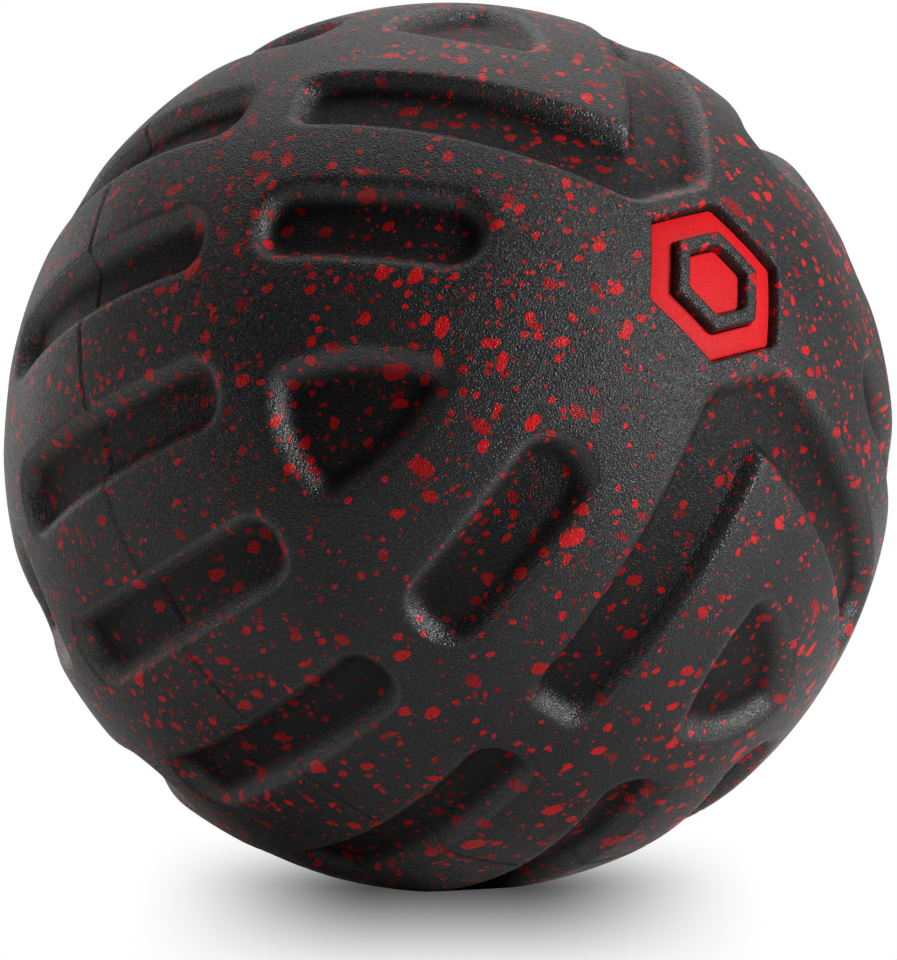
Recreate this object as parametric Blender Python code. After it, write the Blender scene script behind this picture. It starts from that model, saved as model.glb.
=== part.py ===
"""Massage ball, 66 mm across: a solid foam core, a two-part cushion layer and a
two-part moulded outer shell with debossed massage pockets and a red inlay.

The ball is laid out in its mould frame: +Z is the pole that carries the inlay,
the two moulded halves meet in the plane Z = 0, and +X is the axis of the
chevron pockets. An empty turns the whole ball into its resting pose, with the
origin at the ball's centre and +Z up.
"""

import math

import bmesh
import bpy
from mathutils import Vector

# Driving dimensions, in metres.
BALL_RADIUS = 0.033
POCKET_DEPTH = 0.00145
SHELL_WALL = 0.0062
CUSHION_WALL = 0.0100
FIT_GAP = 0.0003
SEAM_GAP = 0.0003
INLAY_SINK = 0.0008
INLAY_THICKNESS = 0.0009
CONTACT_RADIUS = 0.0018
CONTACT_FLATTENING = 0.00006
CONTACT_FLARE = 1.8
CUTTER_OVERRUN = 0.0006

# Angles on the ball, in degrees. A pocket's half-width is given at its mouth,
# and a draft is how far its floor lies inside its mouth. A triangle is given by
# its tip's and its base's angle from the pole and half the length of its base.
WALL_DRAFT = 2.7
CHEVRON_DRAFT = 2.7
SEAM_SLOT_COUNT = 16
SEAM_SLOT_REACH = 22.0
SEAM_SLOT_HALF = 5.3
SEAM_SLOT_DRAFT = 2.6
SIDE_SLOT_HALF = 6.0
SIDE_SLOT_START = (36.3, 30.0)
SIDE_SLOT_END = (55.9, 33.2)
SIDE_TRIANGLE = (30.4, 62.2, 13.2)
CHEVRON_TRIANGLE = (35.0, 61.6, 13.4)
TRIANGLE_ROUNDING = 3.4
TRIANGLE_BULGE = 1.2
CHEVRON_APEX = 14.7
CHEVRON_FLAT = 12.2
CHEVRON_SPREAD = 41.5
CHEVRON_HALF = 6.2
CHEVRON_LENGTH = 49.3
CHEVRON_CORNER = 1.3
SQUARE_CORNER = 4.4
ROUND_CORNER = 5.6
CORNER_DRAFT_SHARE = 0.9
ARM_END_ROUNDNESS = 0.8
INLAY_RING_OUTER = 11.2
INLAY_RING_INNER = 7.4
INLAY_BADGE_RADIUS = 4.8
INLAY_ROUNDING = 0.9

# Where the pockets repeat about the pole, in degrees.
CHEVRON_AXES = (0.0, 180.0)
SIDE_AXES = (90.0, 270.0)

# Facets.
SHELL_SEGMENTS = 64
INNER_SEGMENTS = 36
STATION_STEP = 5.0
ARC_STEPS = 2

# Resting pose: the ball is turned about its pole, and the pole then leans over
# to the front.
POLE_TURN = 97.6
POLE_LEAN = 64.5

CHARCOAL = (0.030, 0.030, 0.031, 1.0)
CUSHION_GREY = (0.115, 0.115, 0.120, 1.0)
CORE_GREY = (0.055, 0.056, 0.060, 1.0)
INLAY_RED = (0.760, 0.016, 0.022, 1.0)


# ------------------------------------------------------------- scene helpers

def clear_scene():
    for thing in list(bpy.data.objects):
        bpy.data.objects.remove(thing, do_unlink=True)


def new_collection(name):
    collection = bpy.data.collections.new(name)
    bpy.context.scene.collection.children.link(collection)
    return collection


def new_material(name, colour, roughness):
    material = bpy.data.materials.new(name)
    material.use_nodes = True
    shader = material.node_tree.nodes["Principled BSDF"]
    shader.inputs["Base Color"].default_value = colour
    shader.inputs["Roughness"].default_value = roughness
    shader.inputs["Metallic"].default_value = 0.0
    return material


def new_object(name, bm, collection, parent=None):
    mesh = bpy.data.meshes.new(name)
    bm.to_mesh(mesh)
    bm.free()
    thing = bpy.data.objects.new(name, mesh)
    collection.objects.link(thing)
    thing.parent = parent
    return thing


def new_guide(name, bm, collection, parent=None):
    """A helper shape for a Boolean, which isn't part of the ball."""
    guide = new_object(name, bm, collection, parent)
    guide.hide_render = True
    guide.display_type = "WIRE"
    return guide


def cut(thing, cutter):
    add_boolean(thing, "DIFFERENCE", cutter)


def add_boolean(thing, operation, other):
    modifier = thing.modifiers.new(other.name, "BOOLEAN")
    modifier.operation = operation
    modifier.solver = "EXACT"
    modifier.object = other


def finish_part(thing, material):
    thing.data.materials.append(material)
    thing.data.shade_smooth()
    thing.data.set_sharp_from_angle(angle=math.radians(30))


# ------------------------------------------------------ directions and levels

def polar(tilt, turn):
    """Unit vector tilted from the pole, at a turn about it, in degrees."""
    tilt = math.radians(tilt)
    turn = math.radians(turn)
    across = math.sin(tilt)
    return Vector((across * math.cos(turn), across * math.sin(turn), math.cos(tilt)))


def map_direction(point, axis):
    """Direction of a point on the flat map round the pole, where a point's
    distance from the origin is its tilt and the map's first axis runs down the
    meridian at the turn called axis."""
    return polar(point.length, axis + math.degrees(math.atan2(point.y, point.x)))


def levels(draft):
    """The two levels of a cutter, above the mouth and at the floor: its radius
    and how far its outline is inset there, in degrees."""
    floor_radius = BALL_RADIUS - POCKET_DEPTH
    over = draft * CUTTER_OVERRUN / POCKET_DEPTH
    return ((BALL_RADIUS + CUTTER_OVERRUN, -over), (floor_radius, draft))


# ------------------------------------------------------------------- outlines

def rounded_outline(corners, rounding, bulge=0.0):
    """A convex outline with each corner replaced by an arc, and with the middle
    of each side moved outwards by a bulge."""
    arcs = []
    for i, corner in enumerate(corners):
        back = (corners[i - 1] - corner).normalized()
        ahead = (corners[(i + 1) % len(corners)] - corner).normalized()
        half = math.acos(back.dot(ahead)) / 2
        centre = corner + (back + ahead).normalized() * (rounding / math.sin(half))
        run = rounding / math.tan(half)
        start = corner + back * run - centre
        end = corner + ahead * run - centre
        spokes = [start.lerp(end, k / ARC_STEPS).normalized() for k in range(ARC_STEPS + 1)]
        arcs.append([centre + spoke * rounding for spoke in spokes])
    if not bulge:
        return [point for arc in arcs for point in arc]

    points = []
    for i, arc in enumerate(arcs):
        side = arcs[(i + 1) % len(arcs)][0] - arc[-1]
        outward = Vector((side.y, -side.x)).normalized()
        if outward.dot(arc[-1] - corners[i - 1]) < 0:
            outward.negate()
        points += arc + [arc[-1] + side / 2 + outward * bulge]
    return points


def inset_corners(corners, distance):
    """The corners of a convex outline moved inwards by a distance."""
    inner = []
    for i, corner in enumerate(corners):
        back = (corners[i - 1] - corner).normalized()
        ahead = (corners[(i + 1) % len(corners)] - corner).normalized()
        half = math.acos(back.dot(ahead)) / 2
        inner.append(corner + (back + ahead).normalized() * (distance / math.sin(half)))
    return inner


def hexagon(radius):
    """A regular hexagon with two of its flats facing the chevrons."""
    corners = []
    for k in range(6):
        angle = math.radians(60 * k + 30)
        corners.append(Vector((radius * math.cos(angle), radius * math.sin(angle))))
    return corners


def slot_profile(reach, half_width, corners, count):
    """(place along the slot, half-width there) from its head to its tail, in
    degrees, for a slot with rounded corners and count steps between them."""
    head, tail = corners
    turns = [math.radians(90 * k / ARC_STEPS) for k in range(ARC_STEPS + 1)]
    profile = []
    for turn in reversed(turns):
        profile.append((head * (1 - math.sin(turn)) - reach,
                        half_width - head * (1 - math.cos(turn))))
    straight = 2 * reach - head - tail
    for k in range(1, count):
        profile.append((head - reach + straight * k / count, half_width))
    for turn in turns:
        profile.append((reach - tail * (1 - math.sin(turn)),
                        half_width - tail * (1 - math.cos(turn))))
    return profile


def chevron_rails(inset):
    """Outer and inner rail of one chevron arm on the flat map, from the
    chevron's axis to the arm's end."""
    half_width = CHEVRON_HALF - inset
    spread = math.radians(CHEVRON_SPREAD)
    along = Vector((math.cos(spread), math.sin(spread)))
    outward = Vector((-along.y, along.x))
    apex = Vector((CHEVRON_APEX, 0.0))
    flat = CHEVRON_FLAT + inset

    def rail(place, offset):
        return apex + along * place + outward * offset

    corner_place = (flat - apex.x - outward.x * half_width) / along.x
    corner = rail(corner_place, half_width)
    before_corner = corner - Vector((0.0, CHEVRON_CORNER))
    after_corner = corner + along * CHEVRON_CORNER
    fold = half_width / math.tan(spread)
    outer = [Vector((flat, 0.0)), before_corner, after_corner]
    inner = [rail(fold + k * CHEVRON_CORNER / 3, -half_width) for k in range(3)]

    end_corner = half_width * ARM_END_ROUNDNESS
    straight_end = CHEVRON_LENGTH - inset - end_corner
    count = round(CHEVRON_LENGTH / STATION_STEP)
    outer_start = corner_place + CHEVRON_CORNER
    inner_start = fold + CHEVRON_CORNER * 2 / 3
    for k in range(1, count + 1):
        share = k / count
        outer.append(rail(outer_start + (straight_end - outer_start) * share, half_width))
        inner.append(rail(inner_start + (straight_end - inner_start) * share, -half_width))
    for k in range(1, ARC_STEPS + 1):
        angle = math.radians(90 * k / ARC_STEPS)
        place = straight_end + end_corner * math.sin(angle)
        offset = half_width - end_corner * (1 - math.cos(angle))
        outer.append(rail(place, offset))
        inner.append(rail(place, -offset))
    return outer, inner


# -------------------------------------------------------------------- cutters

def add_ring(bm, directions, radii):
    return [bm.verts.new(d * r) for d, r in zip(directions, radii)]


def add_loft(bm, rings, closed=False):
    """Skins a row of four-cornered rings, and caps its ends or joins them."""
    faces = []
    following = rings[1:] + rings[:1] if closed else rings[1:]
    for ring, after in zip(rings, following):
        for i in range(4):
            j = (i + 1) % 4
            faces.append(bm.faces.new((ring[i], after[i], after[j], ring[j])))
    if not closed:
        faces.append(bm.faces.new(rings[0]))
        faces.append(bm.faces.new(rings[-1]))
    bmesh.ops.recalc_face_normals(bm, faces=faces)


def add_slot(bm, centre, along, reach, half_width, corners, draft):
    """A drafted slot along the great circle through centre in a direction."""
    normal = centre.cross(along).normalized()
    along = normal.cross(centre)
    count = round((2 * reach - sum(corners)) / STATION_STEP)
    profiles = []
    for radius, inset in levels(draft):
        rounding = [corner - inset * CORNER_DRAFT_SHARE for corner in corners]
        profile = slot_profile(reach - inset, half_width - inset, rounding, count)
        profiles.append((radius, profile))
    (top, mouth), (bottom, floor) = profiles
    rings = []
    for (mouth_place, mouth_half), (floor_place, floor_half) in zip(mouth, floor):
        directions = []
        for place, half in ((mouth_place, mouth_half), (mouth_place, -mouth_half),
                            (floor_place, -floor_half), (floor_place, floor_half)):
            place = math.radians(place)
            half = math.radians(half)
            spine = centre * math.cos(place) + along * math.sin(place)
            directions.append(spine * math.cos(half) + normal * math.sin(half))
        rings.append(add_ring(bm, directions, (top, top, bottom, bottom)))
    add_loft(bm, rings)


def add_triangle(bm, triangle, axis):
    """A drafted pocket with a rounded triangle for an outline, its tip towards
    the pole and its base across the meridian."""
    tip, base, half_base = triangle
    corners = [Vector((tip, 0.0)), Vector((base, half_base)), Vector((base, -half_base))]
    middle = (tip + 2 * base) / 3
    normal = polar(90.0, axis + 90.0)

    def direction(place, offset):
        spine = polar(place, axis)
        offset = math.radians(offset)
        return spine * math.cos(offset) + normal * math.sin(offset)

    loops = []
    for radius, inset in levels(WALL_DRAFT):
        outline = rounded_outline(inset_corners(corners, inset), TRIANGLE_ROUNDING,
                                  TRIANGLE_BULGE)
        loop = [bm.verts.new(direction(p.x, p.y) * radius) for p in outline]
        hub = bm.verts.new(direction(middle, 0.0) * radius)
        loops.append((loop, hub))
    add_plug(bm, loops)


def add_plug(bm, loops):
    """Skins between two loops and closes each with a fan round its hub."""
    (upper, crown), (lower, base) = loops
    faces = []
    for i in range(len(upper)):
        j = (i + 1) % len(upper)
        faces.append(bm.faces.new((upper[i], lower[i], lower[j], upper[j])))
        faces.append(bm.faces.new((upper[i], upper[j], crown)))
        faces.append(bm.faces.new((lower[j], lower[i], base)))
    bmesh.ops.recalc_face_normals(bm, faces=faces)


def add_chevron(bm, axis):
    """A drafted chevron: two arms that meet in a blunt corner near the pole."""
    arms = []
    for radius, inset in levels(CHEVRON_DRAFT):
        arms.append((radius, chevron_rails(inset)))
    (top, (mouth_out, mouth_in)), (bottom, (floor_out, floor_in)) = arms
    rows = list(zip(mouth_out, mouth_in, floor_in, floor_out))
    mirrored = [[Vector((p.x, -p.y)) for p in row] for row in rows[:0:-1]]
    rings = []
    for row in mirrored + rows:
        directions = [map_direction(point, axis) for point in row]
        rings.append(add_ring(bm, directions, (top, top, bottom, bottom)))
    add_loft(bm, rings)


def seam_slot_cutter(collection, parent):
    """The slots that run across the seam all round the ball."""
    bm = bmesh.new()
    for k in range(SEAM_SLOT_COUNT):
        turn = (k + 0.5) * 360.0 / SEAM_SLOT_COUNT
        add_slot(bm, polar(90.0, turn), Vector((0.0, 0.0, 1.0)), SEAM_SLOT_REACH,
                 SEAM_SLOT_HALF, (SQUARE_CORNER, SQUARE_CORNER), SEAM_SLOT_DRAFT)
    return new_guide("seam_slot_cutter", bm, collection, parent)


def polar_cutter(side, collection, parent):
    """The pockets of one half: two chevrons, each round a triangle, and between
    them two triangles with a slot at either side."""
    bm = bmesh.new()
    for axis in CHEVRON_AXES:
        add_chevron(bm, axis)
        add_triangle(bm, CHEVRON_TRIANGLE, axis)
    for axis in SIDE_AXES:
        add_triangle(bm, SIDE_TRIANGLE, axis)
        for sense in (1.0, -1.0):
            start = polar(SIDE_SLOT_START[0], axis + sense * SIDE_SLOT_START[1])
            end = polar(SIDE_SLOT_END[0], axis + sense * SIDE_SLOT_END[1])
            reach = math.degrees(start.angle(end)) / 2 + SIDE_SLOT_HALF
            add_slot(bm, (start + end).normalized(), end - start, reach,
                     SIDE_SLOT_HALF, (ROUND_CORNER, SQUARE_CORNER), WALL_DRAFT)
    if side == "back":
        bmesh.ops.scale(bm, vec=(1.0, 1.0, -1.0), verts=bm.verts)
        bmesh.ops.reverse_faces(bm, faces=bm.faces)
    return new_guide(f"{side}_pocket_cutter", bm, collection, parent)


# --------------------------------------------------------------------- inlays

def add_hexagon_ring(bm, outer, inner, low, high):
    """A hexagonal band round the pole between two radii."""
    outlines = [rounded_outline(hexagon(size), INLAY_ROUNDING) for size in (outer, inner)]
    rings = []
    for wide, narrow in zip(*outlines):
        wide = map_direction(wide, 0.0)
        narrow = map_direction(narrow, 0.0)
        rings.append(add_ring(bm, (wide, narrow, narrow, wide), (high, high, low, low)))
    add_loft(bm, rings, closed=True)


def add_hexagon_plug(bm, size, low, high):
    """A hexagonal plate on the pole between two radii."""
    outline = rounded_outline(hexagon(size), INLAY_ROUNDING)
    loops = []
    for radius in (high, low):
        loop = [bm.verts.new(map_direction(p, 0.0) * radius) for p in outline]
        loops.append((loop, bm.verts.new(Vector((0.0, 0.0, radius)))))
    add_plug(bm, loops)


def inlay_sizes(gap):
    """Outer ring, inner ring and badge sizes when moved outwards by a gap given
    in metres, then the low and high radius."""
    margin = math.degrees(gap / BALL_RADIUS)
    low = BALL_RADIUS - INLAY_SINK - INLAY_THICKNESS - gap
    high = BALL_RADIUS + CUTTER_OVERRUN if gap else BALL_RADIUS - INLAY_SINK
    return (INLAY_RING_OUTER + margin, INLAY_RING_INNER - margin,
            INLAY_BADGE_RADIUS + margin, low, high)


def inlay_cutter(collection, parent):
    outer, inner, badge, low, high = inlay_sizes(FIT_GAP)
    bm = bmesh.new()
    add_hexagon_ring(bm, outer, inner, low, high)
    add_hexagon_plug(bm, badge, low, high)
    return new_guide("inlay_cutter", bm, collection, parent)


def make_inlays(collection, parent, material):
    outer, inner, badge, low, high = inlay_sizes(0.0)
    bm = bmesh.new()
    add_hexagon_ring(bm, outer, inner, low, high)
    finish_part(new_object("inlay_ring", bm, collection, parent), material)
    bm = bmesh.new()
    add_hexagon_plug(bm, badge, low, high)
    finish_part(new_object("inlay_badge", bm, collection, parent), material)


# --------------------------------------------------------------------- shells

def sphere(radius, segments):
    bm = bmesh.new()
    bmesh.ops.create_uvsphere(bm, u_segments=segments, v_segments=segments // 2,
                              radius=radius)
    return bm


def half_block(name, sense, collection, parent):
    """A block that holds one half of the ball, clear of the seam."""
    size = 3 * BALL_RADIUS
    bm = bmesh.new()
    bmesh.ops.create_cube(bm, size=size)
    shift = sense * (size + SEAM_GAP) / 2
    bmesh.ops.translate(bm, vec=(0.0, 0.0, shift), verts=bm.verts)
    return new_guide(name, bm, collection, parent)


def contact_pad(collection):
    """The foam's flattened patch: a low disc under the ball's lowest point."""
    height = CONTACT_RADIUS / 3
    bm = bmesh.new()
    bmesh.ops.create_cone(bm, cap_ends=True, segments=SHELL_SEGMENTS // 2, depth=height,
                          radius1=CONTACT_RADIUS, radius2=CONTACT_RADIUS * CONTACT_FLARE)
    pad = new_guide("contact_pad_guide", bm, collection)
    pad.location.z = height / 2 - BALL_RADIUS + CONTACT_FLATTENING
    return pad


def contact_trim(collection):
    """A block whose top face is the plane of the flattened patch."""
    size = BALL_RADIUS
    bm = bmesh.new()
    bmesh.ops.create_cube(bm, size=size)
    trim = new_guide("contact_trim_cutter", bm, collection)
    trim.location.z = CONTACT_FLATTENING - BALL_RADIUS - size / 2
    return trim


def make_layer(name, outer, inner, half, collection, parent):
    """One moulded cup: half of a ball with a smaller ball taken out of it."""
    cup = new_object(name, sphere(*outer), collection, parent)
    cut(cup, inner)
    add_boolean(cup, "INTERSECT", half)
    return cup


def build():
    clear_scene()
    parts = new_collection("massage_ball")
    helpers = new_collection("cutters")

    pose = bpy.data.objects.new("resting_pose", None)
    parts.objects.link(pose)
    pose.rotation_mode = "ZYX"
    pose.rotation_euler = (math.radians(POLE_LEAN), 0.0, math.radians(POLE_TURN))

    foam = new_material("speckled_foam", CHARCOAL, 0.62)
    cushion = new_material("cushion_foam", CUSHION_GREY, 0.85)
    dense = new_material("core_foam", CORE_GREY, 0.75)
    red = new_material("inlay_red", INLAY_RED, 0.38)

    shell_inside = BALL_RADIUS - SHELL_WALL
    cushion_outside = shell_inside - FIT_GAP
    cushion_inside = cushion_outside - CUSHION_WALL
    core_radius = cushion_inside - FIT_GAP

    halves = {
        "front": half_block("front_half_block", 1.0, helpers, pose),
        "back": half_block("back_half_block", -1.0, helpers, pose),
    }
    shell_hollow = new_guide("shell_hollow_cutter", sphere(shell_inside, INNER_SEGMENTS),
                             helpers, pose)
    cushion_hollow = new_guide("cushion_hollow_cutter", sphere(cushion_inside, INNER_SEGMENTS),
                               helpers, pose)
    seam_slots = seam_slot_cutter(helpers, pose)

    for side, half in halves.items():
        shell = make_layer(f"outer_shell_{side}", (BALL_RADIUS, SHELL_SEGMENTS),
                           shell_hollow, half, parts, pose)
        cut(shell, seam_slots)
        cut(shell, polar_cutter(side, helpers, pose))
        if side == "front":
            cut(shell, inlay_cutter(helpers, pose))
        else:
            add_boolean(shell, "UNION", contact_pad(helpers))
            cut(shell, contact_trim(helpers))
        finish_part(shell, foam)

        layer = make_layer(f"cushion_layer_{side}", (cushion_outside, INNER_SEGMENTS),
                           cushion_hollow, half, parts, pose)
        finish_part(layer, cushion)

    core = new_object("core_ball", sphere(core_radius, INNER_SEGMENTS), parts, pose)
    finish_part(core, dense)
    make_inlays(parts, pose, red)


build()
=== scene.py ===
"""Looks of the massage ball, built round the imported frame.

The ball is worked out in its mould frame: +Z is the pole with the red inlay,
the two moulded halves meet in the plane Z = 0 and +X is the axis of the
chevrons. Every mesh is then turned into the frame's resting pose. Angles on
the ball are in degrees and lengths in metres, unless a name says otherwise.
"""

import math

import bpy
import numpy as np
from mathutils import Matrix, Vector


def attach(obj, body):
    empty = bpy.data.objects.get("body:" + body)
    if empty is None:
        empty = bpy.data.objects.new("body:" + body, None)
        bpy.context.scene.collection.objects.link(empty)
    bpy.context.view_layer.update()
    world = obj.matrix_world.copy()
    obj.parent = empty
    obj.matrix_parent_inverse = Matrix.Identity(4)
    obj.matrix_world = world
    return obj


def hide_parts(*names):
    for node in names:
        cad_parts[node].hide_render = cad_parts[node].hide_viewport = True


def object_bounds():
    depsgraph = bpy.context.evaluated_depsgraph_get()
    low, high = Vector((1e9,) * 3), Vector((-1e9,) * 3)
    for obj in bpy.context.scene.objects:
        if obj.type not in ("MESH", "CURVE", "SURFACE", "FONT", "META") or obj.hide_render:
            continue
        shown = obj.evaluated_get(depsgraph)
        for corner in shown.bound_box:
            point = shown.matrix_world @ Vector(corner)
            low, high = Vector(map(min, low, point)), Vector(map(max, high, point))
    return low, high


# The pockets' layout. Half-widths and reaches run to a pocket's mouth, where
# its rim starts to round over. A triangle is its tip's and its base's angle
# from the pole and half the length of its base.
SEAM_SLOT_STEP = 22.5
SEAM_SLOT_REACH = 22.8
SEAM_SLOT_HALF = 6.0
SEAM_SLOT_CORNER = 5.4
SIDE_SLOT_START = (36.3, 60.0)
SIDE_SLOT_END = (55.9, 56.8)
SIDE_SLOT_HALF = 6.6
SIDE_SLOT_CORNERS = (6.5, 6.0)
SIDE_TRIANGLE = (30.0, 63.4, 12.6)
CHEVRON_TRIANGLE = (33.4, 62.6, 13.4)
TRIANGLE_ROUNDING = 4.6
TRIANGLE_BULGE = 1.3
TRIANGLE_STEEPNESS = 0.75
CHEVRON_APEX = 14.7
CHEVRON_FLAT = 11.2
CHEVRON_SPREAD = 41.5
CHEVRON_HALF = 6.7
CHEVRON_LENGTH = 50.2
CHEVRON_BLEND = 2.4
CHEVRON_FOLD = 0.7
CHEVRON_STEEPNESS = 1.45
ARM_END_BLEND = 4.6

# A pocket's section: a broad rim, a steep wall and a tighter foot. A steepness
# above makes the section narrower where it is over 1, and wider under 1.
POCKET_DEPTH = 0.00145
RIM_ROUNDING = 0.0014
FOOT_ROUNDING = 0.0010
WALL_SLOPE = 60.0

# The seam: a fine crease where the halves are bonded. It wanders by a sum of
# waves, each (times round the ball, height, phase).
CREASE_DEPTH = 0.00011
CREASE_WIDTH = 0.32
CREASE_WANDER = 0.30
CREASE_WAVES = ((3, 1.0, 0.0), (7, 0.7, 1.0), (16, 0.5, 0.0))
SEAM_CLEARANCE = 0.000015

# The inlay: flat-to-centre sizes of its hexagons.
BADGE_FLAT = 4.16
RING_INNER_FLAT = 6.41
RING_OUTER_FLAT = 9.70
HEXAGON_ROUNDING = 0.9
INLAY_SINK = 0.00078
INLAY_THICKNESS = 0.0009
INLAY_CLEARANCE = 0.05
INLAY_CROWN = 0.00002
CAP_EDGE = 12.4
CAP_START = 0.6
CAP_STEP = 0.8
LEAST_ROUNDING = 0.3

# A recess, in degrees off its outline: the last row of its floor inside it, and
# the middle row of its wall outside it. The fillet on top is (degrees outwards,
# metres down).
RECESS_FOOT = 0.10
RECESS_WALL = 0.06
RECESS_FILLET = ((0.14, 0.00034), (0.22, 0.00019), (0.34, 0.00008), (0.52, 0.00002), (0.80, 0.0))

# The softened top edge of an inlay: (degrees inwards, metres down).
INLAY_EDGE = ((0.0, 0.00030), (0.0, 0.00012), (0.05, 0.00005), (0.14, 0.000015), (0.30, 0.0))

# The inner layers, which only show when the ball is taken apart.
CUSHION_RIPPLE = 0.00006
CORE_RIPPLE = 0.00005
CORE_BEAD = 0.00010
CORE_BEAD_WIDTH = 0.9
CORE_POLE_TILT = 1.5
GATE_TILT = 7.0
GATE_EDGE = 0.5
GATE_DEPTH = 0.0003
LIP_ROUNDING = 0.0008
LIP_STEPS = 4
RIPPLE_WAVES = ((9.0, 4.0, -3.0), (-5.0, 8.0, 6.0), (3.0, -7.0, 11.0), (14.0, 12.0, 5.0),
                (-11.0, 6.0, -15.0), (21.0, -13.0, 9.0), (8.0, 23.0, -17.0))

# Mesh density.
COLUMNS = 512
ROW_STEP = 0.56
EDGE_ROWS = (89.0, 89.3, 89.55, 89.75, 89.88)
INNER_ROWS = 10
INNER_POLE_TILT = 6.0
INNER_COLUMNS = 160
CUSHION_ROWS = 36
CORE_ROWS = 90
SHARP_ANGLE = 42

# Resting pose, as the CAD has it.
POLE_TURN = 97.6
POLE_LEAN = 64.5

# Camera: far off, with the ball filling most of the frame's long side and
# raised a little in it.
CAMERA_AZIMUTH = -40.8
CAMERA_ELEVATION = 5.2
CAMERA_RADII = 20.0
BALL_FILLS = 0.927
BALL_RAISED = 0.0339
SENSOR_WIDTH = 36.0
NEAR_CLIP = 0.01
FAR_CLIP = 100.0

# Red flecks in the foam, by size, in millimetres: the spacing of their cells,
# their smallest and largest radius, the share of the cells that have one, how
# far they are stretched, and a seed. The share thins out in places.
SPECKLES = (
    (0.60, 0.05, 0.14, 0.50, 1.3, 4.0),
    (0.85, 0.09, 0.27, 0.80, 1.3, 1.0),
    (1.50, 0.20, 0.46, 0.84, 1.6, 2.0),
    (3.00, 0.36, 0.64, 0.50, 1.8, 3.0),
)
SPECKLE_SHIFT = (7.3, 3.1, 5.7)
SPECKLE_JITTER = 0.75
SPECKLE_SIZE_POWER = 1.5
SPECKLE_EDGE = (-0.02, 0.03)

# Foam skin. Scales are in waves or cells per millimetre. FLECK_WARPS bend the
# flecks' outlines, as (scale, millimetres). A ramp is (from, to, value at from,
# value at to), or only (from, to) where it runs from 0 to 1.
FOAM_DARK = (0.018, 0.018, 0.019, 1.0)
FOAM_LIGHT = (0.026, 0.026, 0.027, 1.0)
DARK_FLECK = (0.30, 0.004, 0.006, 1.0)
BRIGHT_FLECK = (0.88, 0.006, 0.010, 1.0)
BLACK = (0.0, 0.0, 0.0, 1.0)
MID_GREY = (0.5, 0.5, 0.5)
NOISE_RANGE = (0.3, 0.7)
MOTTLE_SCALE = 0.12
GRIT_SCALE = 6.0
THINNING_SCALE = 0.07
PEBBLE_SCALE = 7.6
PEBBLE_BLEND = 0.5
PEBBLE_RELIEF = -0.8
GRAIN_SCALE = 6.5
SHINE_SCALE = 2.2
SKIN_RELIEF = 0.00007
FLECK_WARPS = ((1.6, 0.34), (4.2, 0.14))
FLECK_TONES = (0.0, 0.8)
FLECK_THINNING = (0.38, 0.58, 0.62, 1.05)
FLECK_GRIT = (0.35, 0.65, 0.0, 0.35)
# Painted shade in the pockets: the colour darkens towards black with depth.
PAINTED_POCKET_SHADE = (0.35, 1.0, 0.0, 0.5)
VIEW_GLOSS = (0.15, 0.60, 0.55, 0.30)
RIM_GLOSS = (0.02, 0.10, 1.0, 2.2)
POCKET_GLOSS = (0.45, 1.0, 1.0, 0.20)
PEBBLE_GLOSS = (0.12, 0.34, 2.5, 0.70)
FLECK_GLOSS = (0.0, 1.0, 1.0, 0.7)
SKIN_ROUGHNESS = (*NOISE_RANGE, 0.25, 0.34)

# Cut foam, as (darker colour, lighter colour, cell in millimetres).
CUSHION_FOAM = ((0.06, 0.06, 0.063, 1.0), (0.13, 0.13, 0.135, 1.0), 0.5)
CORE_FOAM = ((0.03, 0.03, 0.033, 1.0), (0.065, 0.066, 0.07, 1.0), 0.3)
CUT_TONE_SCALE = 0.25
CUT_PITS = (0.1, 0.5)
CUT_RELIEF = 0.0001
CUT_BUMP = 0.6
CUT_ROUGHNESS = 0.85

# Inlay.
DEEP_RED = (0.76, 0.008, 0.013, 1.0)
CLEAR_RED = (0.90, 0.013, 0.020, 1.0)
STREAK_STRETCH = (2.6, 2.6, 0.7)
STREAK_SCALE = 2.4
STREAK_RANGE = (0.35, 0.7)
RED_GRAIN_SCALE = 7.0
RED_GRAIN_SHARE = 0.35
RED_RELIEF = 0.00006
RED_BUMP = 0.35
RED_ROUGHNESS = (*NOISE_RANGE, 0.48, 0.60)
RED_GLOSS = 0.14

# Studio: between which distances the ball's painted shadow on the floor fades out
# or in, the floor's bounce, the studio's own light and the soft lights: (azimuth off
# the camera's, elevation, distance, width, height, power in watts). The studio
# is lit by how far a direction faces the camera, which fades upwards, and by how
# far it faces up, each as (from, to, strength at from, strength at to).
FLOOR_SIZE = 30.0
WHITE = (1.0, 1.0, 1.0, 1.0)
SHADE_SIDEWAYS = (0.005, 0.024)
SHADE_AHEAD = (-0.008, 0.056)
SHADE_BEHIND = (-0.034, 0.002)
SHADE_DEPTH = 0.97
FLOOR_BOUNCE = 0.85
STUDIO_BACK = (-1.0, 0.0, 0.60, 0.015)
STUDIO_BACK_FADE = (0.0, 0.50, 1.0, 0.25)
STUDIO_TOP = (0.30, 0.95, 0.00, 0.10)
LIGHTS = {
    "overhead": (178.0, 55.0, 0.50, 0.60, 0.50, 1.4),
    "key": (69.0, 22.0, 0.50, 0.16, 0.16, 1.9),
    "left_side": (-104.0, 6.0, 0.45, 0.14, 0.30, 0.25),
    "left_edge": (-146.0, 2.0, 0.45, 0.14, 0.16, 0.08),
}

MM = 1000.0


# -------------------------------------------------------------- pocket layout

def polar(tilt, turn):
    """Unit vectors tilted from the pole, at a turn about it."""
    tilt = np.radians(tilt)
    turn = np.radians(turn)
    return np.stack([np.sin(tilt) * np.cos(turn), np.sin(tilt) * np.sin(turn),
                     np.cos(tilt) + 0 * turn], axis=-1)


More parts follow.
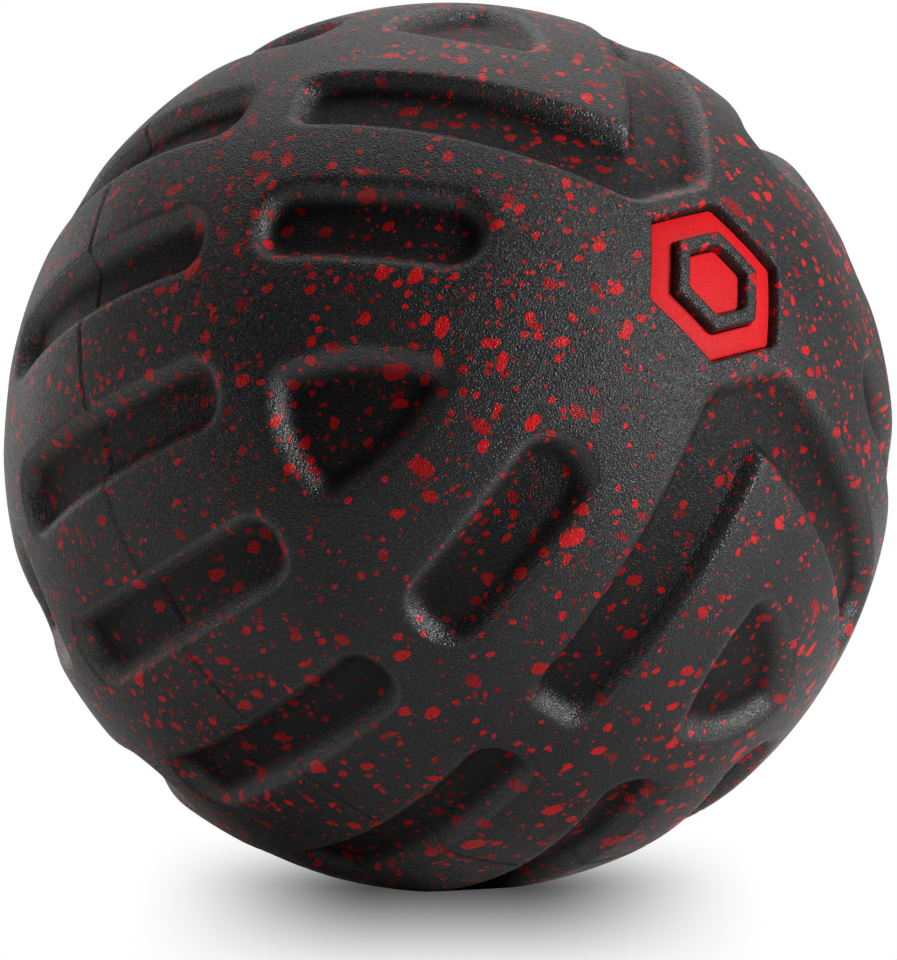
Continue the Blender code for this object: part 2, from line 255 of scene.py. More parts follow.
def smooth_max(a, b, rounding):
    """The larger of two distances, with their corner rounded off."""
    near = np.maximum(rounding - np.abs(a - b), 0.0)
    return np.maximum(a, b) + near * near / (4 * rounding)


def slot_distance(along, across, reach, half, corner):
    """How far a point lies outside a rounded rectangle."""
    x = np.abs(along) - reach + corner
    y = np.abs(across) - half + corner
    outside = np.hypot(np.maximum(x, 0.0), np.maximum(y, 0.0))
    return outside + np.minimum(np.maximum(x, y), 0.0) - corner


def arc_place(points, centre, along):
    """(angle along, angle across) of points seen from a great circle."""
    normal = np.cross(centre, along)
    normal /= np.linalg.norm(normal)
    along = np.cross(normal, centre)
    place = np.degrees(np.arctan2(points @ along, points @ centre))
    offset = np.degrees(np.arcsin(np.clip(points @ normal, -1.0, 1.0)))
    return place, offset


def triangle_distance(along, across, triangle):
    """How far a point lies outside a rounded triangle that points at the pole:
    its distance from a smaller sharp triangle, less the rounding and the bulge
    of its sides."""
    tip, base, half_base = triangle
    slope = math.atan2(half_base, base - tip)
    tip += TRIANGLE_ROUNDING / math.sin(slope)
    base -= TRIANGLE_ROUNDING
    half_base = (base - tip) * math.tan(slope)
    across = np.abs(across)

    length = math.hypot(base - tip, half_base)
    run = ((along - tip) * (base - tip) + across * half_base) / length ** 2
    run = np.clip(run, 0.0, 1.0)
    from_side = np.hypot(along - tip - run * (base - tip), across - run * half_base)
    from_base = np.hypot(along - base, np.maximum(across - half_base, 0.0))
    past_side = across * math.cos(slope) - (along - tip) * math.sin(slope)
    inside = (past_side < 0) & (along < base)
    base_run = np.minimum(across / half_base, 1.0)
    bulge = TRIANGLE_BULGE * np.where(from_side < from_base, 4 * run * (1 - run),
                                      1 - base_run ** 2)
    edge = np.minimum(from_side, from_base)
    return np.where(inside, -edge, edge) - TRIANGLE_ROUNDING - bulge


def chevron_distance(x, y):
    """How far a point of the flat polar map lies outside the chevron."""
    y = np.sqrt(y * y + CHEVRON_FOLD ** 2) - CHEVRON_FOLD
    spread = math.radians(CHEVRON_SPREAD)
    along = (x - CHEVRON_APEX) * math.cos(spread) + y * math.sin(spread)
    across = y * math.cos(spread) - (x - CHEVRON_APEX) * math.sin(spread)
    side = (np.abs(across) - CHEVRON_HALF) * CHEVRON_STEEPNESS
    blunt = smooth_max(side, CHEVRON_FLAT - x, CHEVRON_BLEND)
    return smooth_max(blunt, along - CHEVRON_LENGTH, ARM_END_BLEND)


def mouth_distance(points):
    """How far inside a pocket's mouth each point lies, in degrees.

    The layout mirrors about all three planes of the mould frame, so it is
    enough to know the pockets of one eighth of the ball. The result is less
    than zero on the lands."""
    folded = np.abs(points)
    pole = np.array([0.0, 0.0, 1.0])

    turn = np.degrees(np.arctan2(folded[:, 1], folded[:, 0]))
    turn = np.radians(np.mod(turn, SEAM_SLOT_STEP) - SEAM_SLOT_STEP / 2)
    level = np.hypot(folded[:, 0], folded[:, 1])
    near = np.stack([level * np.cos(turn), level * np.sin(turn), folded[:, 2]], axis=-1)
    along, across = arc_place(near, np.array([1.0, 0.0, 0.0]), pole)
    distance = slot_distance(along, across, SEAM_SLOT_REACH, SEAM_SLOT_HALF, SEAM_SLOT_CORNER)

    start = polar(*SIDE_SLOT_START)
    end = polar(*SIDE_SLOT_END)
    centre = (start + end) / np.linalg.norm(start + end)
    reach = math.degrees(math.acos(start @ end)) / 2 + SIDE_SLOT_HALF
    along, across = arc_place(folded, centre, end - start)
    corner = np.where(along < 0, *SIDE_SLOT_CORNERS)
    slot = slot_distance(along, across, reach, SIDE_SLOT_HALF, corner)
    distance = np.minimum(distance, slot)

    for triangle, axis in ((SIDE_TRIANGLE, 90.0), (CHEVRON_TRIANGLE, 0.0)):
        along, across = arc_place(folded, pole, polar(90.0, axis))
        outside = triangle_distance(along, across, triangle) * TRIANGLE_STEEPNESS
        distance = np.minimum(distance, outside)

    tilt = np.degrees(np.arccos(np.clip(folded[:, 2], -1.0, 1.0)))
    bearing = np.arctan2(folded[:, 1], folded[:, 0])
    chevron = chevron_distance(tilt * np.cos(bearing), tilt * np.sin(bearing))
    return -np.minimum(distance, chevron)


def pocket_drop(inside):
    """Depth of the surface at a distance inside a pocket's mouth, in metres."""
    slope = math.radians(WALL_SLOPE)
    rim_run = RIM_ROUNDING * math.sin(slope)
    rim_drop = RIM_ROUNDING * (1 - math.cos(slope))
    foot_run = FOOT_ROUNDING * math.sin(slope)
    foot_drop = FOOT_ROUNDING * (1 - math.cos(slope))
    run = rim_run + foot_run + (POCKET_DEPTH - rim_drop - foot_drop) / math.tan(slope)
    place = np.clip(inside, 0.0, run)
    left = run - place
    rim = RIM_ROUNDING - np.sqrt(RIM_ROUNDING ** 2 - np.minimum(place, rim_run) ** 2)
    wall = rim_drop + (place - rim_run) * math.tan(slope)
    foot = np.sqrt(FOOT_ROUNDING ** 2 - np.minimum(left, foot_run) ** 2) - FOOT_ROUNDING
    return np.where(place < rim_run, rim, np.where(left > foot_run, wall, POCKET_DEPTH + foot))


# --------------------------------------------------------------------- meshes

def hexagon_reach(turn, flat, rounding):
    """Distance from the pole to a rounded hexagon's outline at each turn. Its
    flats face the turns 0, 60, 120 and so on."""
    off_flat = np.radians(np.mod(turn + 30.0, 60.0) - 30.0)
    off_corner = np.radians(30.0) - np.abs(off_flat)
    straight = flat / np.cos(off_flat)
    centre = (flat - rounding) / math.cos(math.radians(30.0))
    inside = np.maximum(rounding ** 2 - (centre * np.sin(off_corner)) ** 2, 0.0)
    arc = centre * np.cos(off_corner) + np.sqrt(inside)
    on_arc = flat * np.abs(np.tan(off_flat)) > (flat - rounding) * math.tan(math.radians(30.0))
    return np.where(on_arc, arc, straight)


def pole_cap_rows(with_inlay):
    """(tilt of each column, sink) for the rows from the pole to CAP_EDGE."""
    turns = turns_of(COLUMNS)
    floor = INLAY_SINK + INLAY_THICKNESS
    rows = []
    if not with_inlay:
        for tilt in np.arange(CAP_START, CAP_EDGE, CAP_STEP):
            rows.append((np.full(COLUMNS, tilt), 0.0))
        return rows

    # From a recess's edge outwards: its floor, its wall and the fillet on top.
    rise = ((-RECESS_FOOT, floor), (0.0, floor), (RECESS_WALL, floor * 0.5)) + RECESS_FILLET

    def follow(flat, steps, sense):
        for offset, sink in steps:
            rounding = max(HEXAGON_ROUNDING + sense * offset, LEAST_ROUNDING)
            rows.append((hexagon_reach(turns, flat + sense * offset, rounding), sink))

    for share in (0.2, 0.5, 0.8):
        rows.append((share * hexagon_reach(turns, BADGE_FLAT, HEXAGON_ROUNDING), floor))
    follow(BADGE_FLAT, rise, 1.0)
    follow(RING_INNER_FLAT, reversed(rise), -1.0)
    for share in (0.35, 0.65):
        flat = RING_INNER_FLAT + (RING_OUTER_FLAT - RING_INNER_FLAT) * share
        rows.append((hexagon_reach(turns, flat, HEXAGON_ROUNDING), floor))
    follow(RING_OUTER_FLAT, rise, 1.0)
    last = rows[-1][0]
    for share in (0.25, 0.5, 0.75):
        rows.append((last + (CAP_EDGE - last) * share, 0.0))
    return rows


def mesh_of(name, vertices, faces):
    mesh = bpy.data.meshes.new(name)
    mesh.from_pydata(vertices.tolist(), [], faces)
    mesh.validate()
    mesh.update()
    thing = bpy.data.objects.new(name, mesh)
    bpy.context.scene.collection.objects.link(thing)
    mesh.shade_smooth()
    mesh.set_sharp_from_angle(angle=math.radians(SHARP_ANGLE))
    return thing


def turns_of(columns):
    return np.arange(columns) * 360.0 / columns


def circle(tilt, turns, radius):
    """A row of vertices at one tilt from the pole."""
    return polar(np.full(len(turns), tilt), turns) * np.reshape(radius, (-1, 1))


def lathe_faces(rows, columns, start):
    """Quads between rows of vertices that each go once round the pole."""
    faces = []
    for row in range(rows - 1):
        low = start + row * columns
        for column in range(columns):
            after = (column + 1) % columns
            faces.append((low + column, low + columns + column,
                          low + columns + after, low + after))
    return faces


def closed_lathe(name, crown, rows, base, pose, mirrored=False):
    """A closed body from rows that run from the point crown to the point base.
    A mirrored one is moulded on the far side of the seam."""
    columns = len(rows[0])
    vertices = np.concatenate([[[0.0, 0.0, crown]]] + rows + [[[0.0, 0.0, base]]])
    faces = lathe_faces(len(rows), columns, 1)
    last = 1 + (len(rows) - 1) * columns
    tip = len(vertices) - 1
    for column in range(columns):
        after = (column + 1) % columns
        faces.append((0, 1 + column, 1 + after))
        faces.append((last + column, tip, last + after))
    if mirrored:
        vertices = vertices * np.array([1.0, 1.0, -1.0])
        faces = [tuple(reversed(face)) for face in faces]
    return mesh_of(name, turned(vertices, pose), faces)


def turned(vertices, pose):
    return vertices @ np.array(pose.to_3x3()).T


def crease_drop(tilt, turns, front):
    """Depth of the seam's crease at a tilt, which wanders about the seam."""
    around = np.radians(turns)
    wander = np.zeros(len(turns))
    for times, height, phase in CREASE_WAVES:
        wander += height * np.sin(times * around + phase)
    wander *= CREASE_WANDER / 2 * (1.0 if front else -1.0)
    return CREASE_DEPTH * np.exp(-((90.0 - tilt - wander) / CREASE_WIDTH) ** 2)


def shell_half(name, front, radius, wall, floor, pose):
    """One moulded half of the outer shell, a closed cup with all its relief. A
    point attribute keeps how deep in a pocket each vertex lies, from 0 to 1."""
    turns = turns_of(COLUMNS)
    rows = []
    depths = [0.0]
    cap = pole_cap_rows(front)
    for tilt, sink in cap:
        points = polar(tilt, turns)
        drop = pocket_drop(np.radians(mouth_distance(points)) * radius)
        rows.append(points * np.reshape(radius - sink - drop, (-1, 1)))
        depths.append(drop / POCKET_DEPTH)

    edge_tilt = 90.0 - math.degrees(SEAM_CLEARANCE / radius)
    count = round((EDGE_ROWS[0] - CAP_EDGE) / ROW_STEP)
    tilts = list(np.linspace(CAP_EDGE, EDGE_ROWS[0], count + 1)) + list(EDGE_ROWS[1:])
    for tilt in tilts + [edge_tilt]:
        inside = mouth_distance(circle(tilt, turns, 1.0))
        drop = pocket_drop(np.radians(inside) * radius)
        rows.append(circle(tilt, turns, radius - drop - crease_drop(tilt, turns, front)))
        depths.append(drop / POCKET_DEPTH)

    inner = radius - wall
    inner_edge = 90.0 - math.degrees(SEAM_CLEARANCE / inner)
    for tilt in np.linspace(inner_edge, INNER_POLE_TILT, INNER_ROWS):
        rows.append(circle(tilt, turns, inner))
        depths.append(np.zeros(COLUMNS))
    depths.append(0.0)

    crown = radius - cap[0][1]
    shell = closed_lathe(name, crown, rows, inner, pose, mirrored=not front)
    attribute = shell.data.attributes.new("pocket", "FLOAT", "POINT")
    attribute.data.foreach_set("value", np.hstack(depths))
    for vertex in shell.data.vertices:
        vertex.co.z = max(vertex.co.z, floor)
    return shell


def skin_ripple(tilt, turns, height):
    """Slight unevenness of a foam part's skin."""
    points = circle(tilt, turns, 1.0)
    ripple = np.zeros(len(turns))
    for k, (x, y, z) in enumerate(RIPPLE_WAVES):
        ripple += np.sin(points @ np.array([x, y, z]) + k) / len(RIPPLE_WAVES)
    return ripple * height


def cushion_half(name, front, outer, inner, clearance, pose):
    """Half of the cushion layer: a thick cup with rounded lips."""
    turns = turns_of(INNER_COLUMNS)
    lip = math.radians(90.0 / LIP_STEPS)
    outer -= CUSHION_RIPPLE
    inner += CUSHION_RIPPLE
    rows = []

    def lip_row(corner, side, angle):
        """A row on a rounded lip, which is level with the seam at angle 0."""
        across = corner + side * LIP_ROUNDING * math.sin(angle)
        height = clearance + LIP_ROUNDING * (1 - math.cos(angle))
        tilt = math.degrees(math.atan2(across, height))
        rows.append(circle(tilt, turns, math.hypot(across, height)))

    lip_tilt = math.degrees(LIP_ROUNDING * 2 / inner)
    for tilt in np.linspace(INNER_POLE_TILT / 2, 90.0 - lip_tilt, CUSHION_ROWS):
        rows.append(circle(tilt, turns, outer + skin_ripple(tilt, turns, CUSHION_RIPPLE)))
    for k in range(LIP_STEPS, -1, -1):
        lip_row(outer - LIP_ROUNDING - CUSHION_RIPPLE, 1.0, k * lip)
    for k in range(LIP_STEPS + 1):
        lip_row(inner + LIP_ROUNDING + CUSHION_RIPPLE, -1.0, k * lip)
    for tilt in np.linspace(90.0 - lip_tilt, INNER_POLE_TILT, CUSHION_ROWS):
        rows.append(circle(tilt, turns, inner + skin_ripple(tilt, turns, CUSHION_RIPPLE)))
    return closed_lathe(name, outer, rows, inner, pose, mirrored=not front)


def core_body(name, radius, pose):
    """The core: a moulded ball with a parting bead and a shallow gate mark."""
    turns = turns_of(INNER_COLUMNS)
    radius -= CORE_RIPPLE + CORE_BEAD
    rows = []
    for tilt in np.linspace(CORE_POLE_TILT, 180.0 - CORE_POLE_TILT, CORE_ROWS):
        bead = CORE_BEAD * math.exp(-((tilt - 90.0) / CORE_BEAD_WIDTH) ** 2)
        gate = GATE_DEPTH / (1 + math.exp((tilt - GATE_TILT) / GATE_EDGE))
        level = radius + bead - gate + skin_ripple(tilt, turns, CORE_RIPPLE)
        rows.append(circle(tilt, turns, level))
    return closed_lathe(name, radius - GATE_DEPTH, rows, -radius, pose)


def band_object(name, profiles, pose):
    """A closed band round the pole. Each profile row is (flat, radius) and the
    last row joins the first."""
    turns = turns_of(COLUMNS)
    rows = []
    for flat, radius in profiles:
        rows.append(polar(hexagon_reach(turns, flat, HEXAGON_ROUNDING), turns) * radius)
    vertices = np.concatenate(rows)
    faces = lathe_faces(len(rows), COLUMNS, 0)
    last = (len(rows) - 1) * COLUMNS
    for column in range(COLUMNS):
        after = (column + 1) % COLUMNS
        faces.append((last + column, column, after, last + after))
    return mesh_of(name, turned(vertices, pose), faces)


def inlay_edge(radius):
    """Rows over the softened top edge of an inlay: (offset inwards, radius)."""
    top = radius - INLAY_SINK
    return [(offset, top - drop) for offset, drop in INLAY_EDGE]


def inlay_ring_object(radius, pose):
    bottom = radius - INLAY_SINK - INLAY_THICKNESS + INLAY_CROWN
    outer = RING_OUTER_FLAT - INLAY_CLEARANCE
    inner = RING_INNER_FLAT + INLAY_CLEARANCE
    edge = inlay_edge(radius)
    rows = [(inner, bottom)]
    rows += [(inner + offset, level) for offset, level in edge]
    rows.append(((outer + inner) / 2, radius - INLAY_SINK + INLAY_CROWN))
    rows += [(outer - offset, level) for offset, level in reversed(edge)]
    rows.append((outer, bottom))
    return band_object("red_inlay_ring", rows, pose)


def inlay_badge_object(radius, pose):
    turns = turns_of(COLUMNS)
    top = radius - INLAY_SINK
    bottom = top - INLAY_THICKNESS + INLAY_CROWN
    flat = BADGE_FLAT - INLAY_CLEARANCE
    outline = hexagon_reach(turns, flat, HEXAGON_ROUNDING)
    rows = []
    for share in (0.3, 0.6, 0.85):
        rows.append(polar(share * outline, turns) * (top + INLAY_CROWN * (1 - share)))
    for offset, level in reversed(inlay_edge(radius)):
        reach = hexagon_reach(turns, flat - offset, HEXAGON_ROUNDING)
        rows.append(polar(reach, turns) * level)
    rows.append(polar(outline, turns) * bottom)
    rows.append(polar(outline / 2, turns) * bottom)
    return closed_lathe("red_inlay_badge", top + INLAY_CROWN, rows, bottom, pose)


# ------------------------------------------------------------------ materials

class Nodes:
    """Short calls for the node tree of a material or of the world."""

    def __init__(self, owner):
        owner.use_nodes = True
        self.tree = owner.node_tree
        self.shader = self.tree.nodes.get("Principled BSDF")
        for node in self.tree.nodes:
            if node.type.startswith("OUTPUT"):
                self.output = node

    def add(self, kind, settings=None, **inputs):
        node = self.tree.nodes.new("ShaderNode" + kind)
        for key, value in (settings or {}).items():
            setattr(node, key, value)
        for key, value in inputs.items():
            self.put(node, key.replace("_", " "), value)
        return node

    def put(self, node, key, value):
        socket = node.inputs[int(key)] if key.isdigit() else node.inputs[key]
        if isinstance(value, bpy.types.NodeSocket):
            self.tree.links.new(value, socket)
        else:
            socket.default_value = value

    def math(self, operation, a, b=0.0):
        node = self.add("Math", {"operation": operation})
        self.put(node, "0", a)
        self.put(node, "1", b)
        return node.outputs[0]

    def vector(self, operation, a, b=(0.0, 0.0, 0.0), scale=None):
        node = self.add("VectorMath", {"operation": operation})
        self.put(node, "0", a)
        if scale is None:
            self.put(node, "1", b)
        else:
            self.put(node, "Scale", scale)
        return node.outputs["Value" if operation in ("DOT_PRODUCT", "LENGTH") else "Vector"]

    def ramp(self, value, low, high, to_low=0.0, to_high=1.0):
        node = self.add("MapRange", {"interpolation_type": "SMOOTHSTEP"})
        for key, number in (("Value", value), ("From Min", low), ("From Max", high),
                            ("To Min", to_low), ("To Max", to_high)):
            self.put(node, key, number)
        return node.outputs["Result"]

    def mix(self, share, a, b):
        node = self.add("Mix", {"data_type": "RGBA"})
        self.put(node, "Factor", share)
        for key, value in (("6", a), ("7", b)):
            self.put(node, key, value)
        return node.outputs[2]

    def noise(self, place, scale, detail=2.0, roughness=0.5):
        node = self.add("TexNoise", {"noise_dimensions": "3D"}, Vector=place, Scale=scale,
                        Detail=detail, Roughness=roughness)
        return node.outputs

    def place_mm(self):
        """The point in the ball's frame, in millimetres."""
        point = self.add("TexCoord").outputs["Object"]
        return self.vector("SCALE", point, scale=MM)


def speckle_layer(nodes, place, cell, small, large, share, stretch, seed, thinning):
    """One size of fused speckle: (mask, a random number for each speckle).

    A speckle is a stretched ball round the middle of a cell; share of the cells
    have one, and its size and direction are random."""
    shifted = nodes.vector("ADD", place, [seed * step for step in SPECKLE_SHIFT])
    cells = nodes.add("TexVoronoi", {"voronoi_dimensions": "3D", "feature": "F1"},
                      Vector=shifted, Scale=1.0 / cell, Randomness=SPECKLE_JITTER)
    pick = nodes.add("SeparateColor", Color=cells.outputs["Color"])
    offset = nodes.vector("SUBTRACT", shifted, cells.outputs["Position"])
    axis = nodes.vector("SUBTRACT", cells.outputs["Color"], MID_GREY)
    axis = nodes.vector("NORMALIZE", axis)
    along = nodes.vector("DOT_PRODUCT", offset, axis)
    length = nodes.vector("LENGTH", offset)
    shortened = nodes.math("MULTIPLY", nodes.math("MULTIPLY", along, along),
                           1.0 - 1.0 / stretch ** 2)
    squared = nodes.math("SUBTRACT", nodes.math("MULTIPLY", length, length), shortened)
    distance = nodes.math("SQRT", nodes.math("MAXIMUM", squared, 0.0))
    spread = nodes.math("POWER", pick.outputs["Red"], SPECKLE_SIZE_POWER)
    size = nodes.math("ADD", nodes.math("MULTIPLY", spread, large - small), small)
    inside = nodes.math("SUBTRACT", size, distance)
    mask = nodes.ramp(inside, *SPECKLE_EDGE)
    present = nodes.math("LESS_THAN", pick.outputs["Green"],
                         nodes.math("MULTIPLY", thinning, share))
    return nodes.math("MULTIPLY", mask, present), pick.outputs["Blue"]


def speckled_foam():
    """Charcoal foam skin: fine pebbled grain with red flecks fused into it. Painted
    shade darkens the colour, flecks too, towards black deep in the pockets. The
    pockets' floors are also duller than the lands, and their rims are shinier."""
    material = bpy.data.materials.new("speckled_foam_skin")
    nodes = Nodes(material)
    place = nodes.place_mm()
    pocket = nodes.add("Attribute", {"attribute_name": "pocket"}).outputs["Fac"]
    warped = place
    for scale, amount in FLECK_WARPS:
        wobble = nodes.noise(place, scale, 0.0)["Color"]
        wobble = nodes.vector("SUBTRACT", wobble, MID_GREY)
        warped = nodes.vector("ADD", warped, nodes.vector("SCALE", wobble, scale=amount))

    mottle = nodes.ramp(nodes.noise(place, MOTTLE_SCALE, 3.0)["Fac"], *NOISE_RANGE)
    colour = nodes.mix(mottle, FOAM_DARK, FOAM_LIGHT)
    grit = nodes.ramp(nodes.noise(place, GRIT_SCALE)["Fac"], *FLECK_GRIT)
    thinning = nodes.ramp(nodes.noise(place, THINNING_SCALE, 1.0)["Fac"], *FLECK_THINNING)
    flecks = 0.0
    for numbers in SPECKLES:
        mask, pick = speckle_layer(nodes, warped, *numbers, thinning)
        red = nodes.mix(nodes.ramp(pick, *FLECK_TONES), DARK_FLECK, BRIGHT_FLECK)
        red = nodes.mix(grit, red, DARK_FLECK)
        colour = nodes.mix(mask, colour, red)
        flecks = nodes.math("MAXIMUM", mask, flecks)
    # Painted shade: the colour, flecks too, darkens towards black deep in the pockets.
    colour = nodes.mix(nodes.ramp(pocket, *PAINTED_POCKET_SHADE), colour, BLACK)

    pebbles = nodes.add("TexVoronoi", {"voronoi_dimensions": "3D", "feature": "SMOOTH_F1"},
                        Vector=place, Scale=PEBBLE_SCALE, Smoothness=PEBBLE_BLEND)
    pebbles = pebbles.outputs["Distance"]
    grain = nodes.noise(place, GRAIN_SCALE, 2.0, 0.6)["Fac"]
    height = nodes.math("ADD", nodes.math("MULTIPLY", pebbles, PEBBLE_RELIEF), grain)
    bump = nodes.add("Bump", Strength=1.0, Distance=SKIN_RELIEF, Height=height)

    # Pebble tops and worn rims shine most; flecks, pockets and slanting views
    # shine less.
    facing = nodes.add("LayerWeight", Blend=0.5).outputs["Facing"]
    gloss = nodes.ramp(facing, *VIEW_GLOSS)
    for value, ramp in ((pocket, RIM_GLOSS), (pocket, POCKET_GLOSS),
                        (pebbles, PEBBLE_GLOSS), (flecks, FLECK_GLOSS)):
        gloss = nodes.math("MULTIPLY", gloss, nodes.ramp(value, *ramp))
    roughness = nodes.ramp(nodes.noise(place, SHINE_SCALE, 4.0)["Fac"], *SKIN_ROUGHNESS)
    nodes.put(nodes.shader, "Base Color", colour)
    nodes.put(nodes.shader, "Roughness", roughness)
    nodes.put(nodes.shader, "Specular IOR Level", gloss)
    nodes.put(nodes.shader, "Normal", bump.outputs["Normal"])
    return material


def plain_foam(name, dark, light, cell):
    """Cut foam: small closed cells, each darker in its pit, and a slightly uneven tone."""
    material = bpy.data.materials.new(name)
    nodes = Nodes(material)
    place = nodes.place_mm()
    tone = nodes.ramp(nodes.noise(place, CUT_TONE_SCALE, 4.0)["Fac"], *NOISE_RANGE)
    cells = nodes.add("TexVoronoi", {"voronoi_dimensions": "3D", "feature": "F1"},
                      Vector=place, Scale=1.0 / cell).outputs["Distance"]
    pits = nodes.ramp(cells, *CUT_PITS)
    colour = nodes.mix(nodes.math("MULTIPLY", tone, pits), dark, light)
    bump = nodes.add("Bump", Strength=CUT_BUMP, Distance=CUT_RELIEF, Height=pits)
    nodes.put(nodes.shader, "Base Color", colour)
    nodes.put(nodes.shader, "Roughness", CUT_ROUGHNESS)
    nodes.put(nodes.shader, "Normal", bump.outputs["Normal"])
    return material


def inlay_red():
    """Smooth red inlay with faint streaks and a soft shine."""
    material = bpy.data.materials.new("inlay_red_gloss")
    nodes = Nodes(material)
    place = nodes.place_mm()
    streaks = nodes.vector("MULTIPLY", place, STREAK_STRETCH)
    wrinkle = nodes.noise(streaks, STREAK_SCALE, 4.0, 0.6)["Fac"]
    colour = nodes.mix(nodes.ramp(wrinkle, *STREAK_RANGE), DEEP_RED, CLEAR_RED)
    grain = nodes.noise(place, RED_GRAIN_SCALE, 3.0)["Fac"]
    height = nodes.math("ADD", wrinkle, nodes.math("MULTIPLY", grain, RED_GRAIN_SHARE))
    bump = nodes.add("Bump", Strength=RED_BUMP, Distance=RED_RELIEF, Height=height)
    nodes.put(nodes.shader, "Base Color", colour)
    nodes.put(nodes.shader, "Roughness", nodes.ramp(grain, *RED_ROUGHNESS))
    nodes.put(nodes.shader, "Specular IOR Level", RED_GLOSS)
    nodes.put(nodes.shader, "Normal", bump.outputs["Normal"])
    return material


# ---------------------------------------------------------------------- stage

def pale_floor(height):
    """A plain white floor that glows for the camera, with a painted soft shadow of
    the ball on it, which runs out towards the camera. The floor throws some of
    its light back at the ball."""
    bpy.ops.mesh.primitive_plane_add(size=FLOOR_SIZE, location=(0.0, 0.0, height))
    floor = bpy.context.object
    floor.name = "studio_floor"
    material = bpy.data.materials.new("floor_white")
    nodes = Nodes(material)
    point = nodes.add("NewGeometry").outputs["Position"]
    ahead = nodes.vector("DOT_PRODUCT", point, view_direction(CAMERA_AZIMUTH, 0.0))
    sideways = nodes.vector("DOT_PRODUCT", point, view_direction(CAMERA_AZIMUTH + 90.0, 0.0))
    # Painted shadow: the floor's glow is dimmed round the ball and out towards the camera.
    shade = nodes.ramp(nodes.math("ABSOLUTE", sideways), *SHADE_SIDEWAYS, 1.0, 0.0)
    shade = nodes.math("MULTIPLY", shade, nodes.ramp(ahead, *SHADE_AHEAD, 1.0, 0.0))
    shade = nodes.math("MULTIPLY", shade, nodes.ramp(ahead, *SHADE_BEHIND, 0.0, 1.0))
    light = nodes.math("SUBTRACT", 1.0, nodes.math("MULTIPLY", shade, SHADE_DEPTH))
    white = nodes.add("Emission", Color=WHITE, Strength=light)
    bounce = nodes.add("BsdfDiffuse", Color=(FLOOR_BOUNCE, FLOOR_BOUNCE, FLOOR_BOUNCE, 1.0))
    choice = nodes.add("MixShader")
    nodes.put(choice, "0", nodes.add("LightPath").outputs["Is Camera Ray"])
    nodes.put(choice, "1", bounce.outputs[0])
    nodes.put(choice, "2", white.outputs[0])
    nodes.put(nodes.output, "Surface", choice.outputs[0])
    floor.data.materials.append(material)


def white_world():
    """White behind everything. The ball is lit by a studio that is pale behind
    it and overhead, and dark in front."""
    world = bpy.data.worlds.new("studio")
    bpy.context.scene.world = world
    nodes = Nodes(world)
    towards = nodes.add("TexCoord").outputs["Generated"]
    front = nodes.vector("DOT_PRODUCT", towards, view_direction(CAMERA_AZIMUTH, 0.0))
    height = nodes.add("SeparateXYZ", Vector=towards).outputs["Z"]
    back = nodes.math("MULTIPLY", nodes.ramp(front, *STUDIO_BACK),
                      nodes.ramp(height, *STUDIO_BACK_FADE))
    light = nodes.math("ADD", back, nodes.ramp(height, *STUDIO_TOP))
    studio = nodes.add("Background", Strength=light)
    seen = nodes.add("Background", Strength=1.0)
    for background in (studio, seen):
        nodes.put(background, "Color", WHITE)
    choice = nodes.add("MixShader")
    nodes.put(choice, "0", nodes.add("LightPath").outputs["Is Camera Ray"])
    nodes.put(choice, "1", studio.outputs[0])
    nodes.put(choice, "2", seen.outputs[0])
    nodes.put(nodes.output, "Surface", choice.outputs[0])


def view_direction(azimuth, elevation):
    azimuth = math.radians(azimuth)
    elevation = math.radians(elevation)
    return Vector((math.sin(azimuth) * math.cos(elevation),
                   -math.cos(azimuth) * math.cos(elevation), math.sin(elevation)))


def softbox(name, azimuth, elevation, distance, width, height, power):
    """A soft light at an angle off the camera's azimuth, aimed at the ball."""
    data = bpy.data.lights.new(name, "AREA")
    data.shape = "RECTANGLE"
    data.size = width
    data.size_y = height
    data.energy = power
    lamp = bpy.data.objects.new(name, data)
    bpy.context.scene.collection.objects.link(lamp)
    towards = view_direction(CAMERA_AZIMUTH + azimuth, elevation)
    lamp.location = towards * distance
    lamp.rotation_mode = "QUATERNION"
    lamp.rotation_quaternion = (-towards).to_track_quat("-Z", "Y")
    lamp.visible_camera = False


def place_camera(radius):
    data = bpy.data.cameras.new("camera")
    camera = bpy.data.objects.new("camera", data)
    bpy.context.scene.collection.objects.link(camera)
    back = view_direction(CAMERA_AZIMUTH, CAMERA_ELEVATION)
    camera.location = back * CAMERA_RADII * radius
    camera.rotation_mode = "QUATERNION"
    camera.rotation_quaternion = (-back).to_track_quat("-Z", "Y")
    data.sensor_width = SENSOR_WIDTH
    data.lens = SENSOR_WIDTH * BALL_FILLS / 2 * math.sqrt(CAMERA_RADII ** 2 - 1)
    data.shift_y = -BALL_RAISED
    data.clip_start = NEAR_CLIP
    data.clip_end = FAR_CLIP
    bpy.context.scene.camera = camera


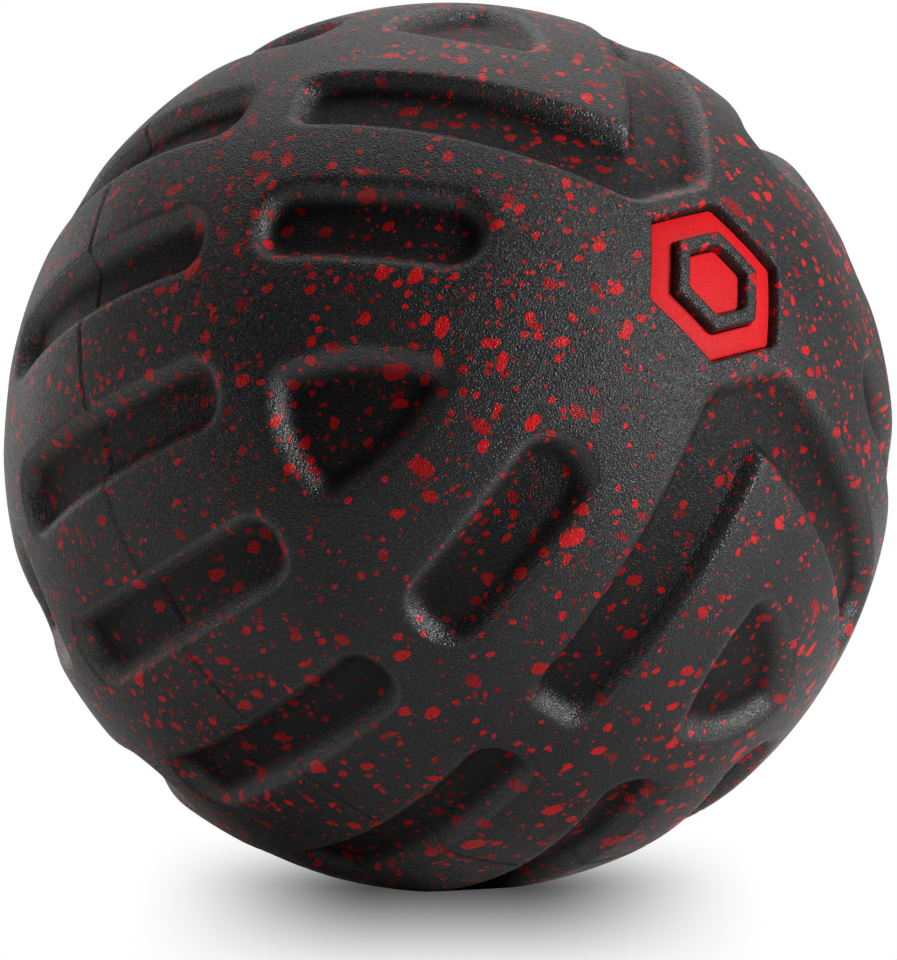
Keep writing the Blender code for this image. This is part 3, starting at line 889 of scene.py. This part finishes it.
# ---------------------------------------------------------------------- build

def wear(piece, material, node):
    """Gives a piece its material and its place in the frame."""
    piece.data.materials.clear()
    piece.data.materials.append(material)
    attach(piece, "root")
    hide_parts(node)


def vertex_reach(node):
    """(largest, smallest) distance of a node's vertices from the ball's centre."""
    lengths = [vertex.co.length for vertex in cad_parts[node].data.vertices]
    return max(lengths), min(lengths)


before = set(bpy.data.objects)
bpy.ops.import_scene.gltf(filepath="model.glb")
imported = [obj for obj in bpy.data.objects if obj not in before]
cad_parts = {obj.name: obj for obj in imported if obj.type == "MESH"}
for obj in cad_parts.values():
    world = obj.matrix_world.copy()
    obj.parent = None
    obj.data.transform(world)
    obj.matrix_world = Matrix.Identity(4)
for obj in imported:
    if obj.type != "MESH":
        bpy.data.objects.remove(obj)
cad_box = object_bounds()
floor_height = cad_box[0].z

ball_radius, shell_inside = vertex_reach("outer_shell_front")
cushion_outside, cushion_inside = vertex_reach("cushion_layer_front")
core_radius = vertex_reach("core_ball")[0]
pose = (Matrix.Rotation(math.radians(POLE_LEAN), 4, "X")
        @ Matrix.Rotation(math.radians(POLE_TURN), 4, "Z"))

foam = speckled_foam()
red = inlay_red()
cushion = plain_foam("cushion_foam_cells", *CUSHION_FOAM)
core = plain_foam("core_foam_cells", *CORE_FOAM)

for side in ("front", "back"):
    shell = shell_half(f"speckled_shell_{side}", side == "front", ball_radius,
                       ball_radius - shell_inside, floor_height, pose)
    wear(shell, foam, f"outer_shell_{side}")
    layer = cushion_half(f"cushion_cup_{side}", side == "front", cushion_outside,
                         cushion_inside, SEAM_CLEARANCE, pose)
    wear(layer, cushion, f"cushion_layer_{side}")
wear(core_body("moulded_core", core_radius, pose), core, "core_ball")
wear(inlay_ring_object(ball_radius, pose), red, "inlay_ring")
wear(inlay_badge_object(ball_radius, pose), red, "inlay_badge")

pale_floor(floor_height)
white_world()
for name, numbers in LIGHTS.items():
    softbox(name, *numbers)
place_camera(ball_radius)
bpy.context.scene.view_settings.view_transform = "Standard"
